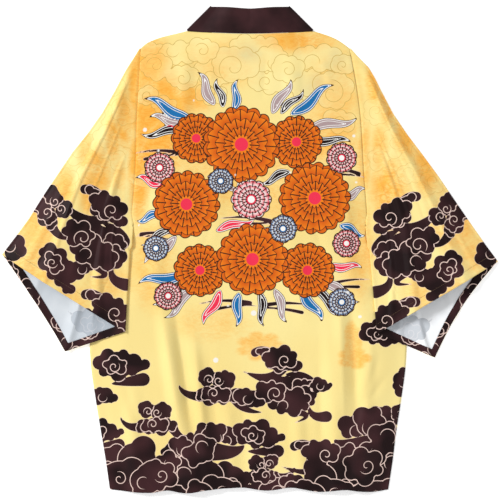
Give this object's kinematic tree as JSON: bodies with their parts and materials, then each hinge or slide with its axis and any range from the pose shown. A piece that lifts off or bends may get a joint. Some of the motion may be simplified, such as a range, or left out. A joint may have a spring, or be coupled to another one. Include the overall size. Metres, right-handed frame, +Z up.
{
  "type": "yukata",
  "caption": "Short yukata jacket with wide sleeves and a dark collar band, laid flat face down so that its printed back shows.",
  "frame": {"origin": "under the middle of the garment's outline, on the surface that it lies on", "axes": "+Z up from the surface, +Y towards the collar, +X towards the garment's right sleeve as the picture shows it"},
  "size_m": [0.8144, 0.7985, 0.0253],
  "materials": {
    "back": "satin",
    "front_left": "satin",
    "front_right": "satin",
    "sleeve_left": "satin",
    "sleeve_right": "satin",
    "collar_band": "satin"
  },
  "bodies": {
    "root": {"back": "back", "front_left": "front_left", "front_right": "front_right", "sleeve_left": "sleeve_left", "sleeve_right": "sleeve_right", "collar_band": "collar_band"}
  },
  "joints": []
}
